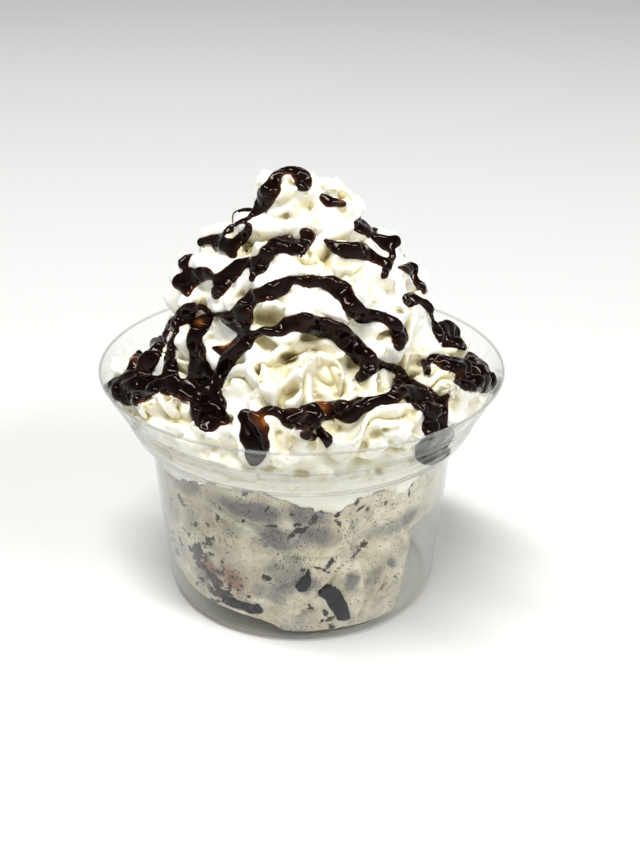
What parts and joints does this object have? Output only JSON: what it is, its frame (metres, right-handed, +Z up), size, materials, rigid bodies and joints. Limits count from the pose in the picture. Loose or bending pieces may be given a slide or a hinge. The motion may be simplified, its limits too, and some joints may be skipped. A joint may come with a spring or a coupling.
{
  "type": "filled dessert cup",
  "caption": "Clear flared dessert cup filled with cookies-and-cream ice cream under a tall swirl of piped whipped cream and thick chocolate syrup",
  "frame": {"origin": "middle of the cup's foot at table height, below the middle of the rim", "axes": "+Z up along the cup's axis, -Y towards the front of the serving, +X to its right"},
  "size_m": [0.0984, 0.0984, 0.1076],
  "materials": {
    "clear_plastic": "thin clear thermoformed plastic, glossy",
    "ice_cream": "ivory ice cream with grey cookie specks and smears",
    "cookie": "dark crumbly cookie, dull",
    "whipped_cream": "soft white whipped cream, yellowish in its folds",
    "chocolate_syrup": "thick glossy dark brown syrup"
  },
  "bodies": {
    "root": {"cup": "clear_plastic", "gelato": "ice_cream", "cookie_chunk_1": "cookie", "cookie_chunk_2": "cookie", "cookie_chunk_3": "cookie", "whipped_cream": "whipped_cream"}
  },
  "joints": []
}
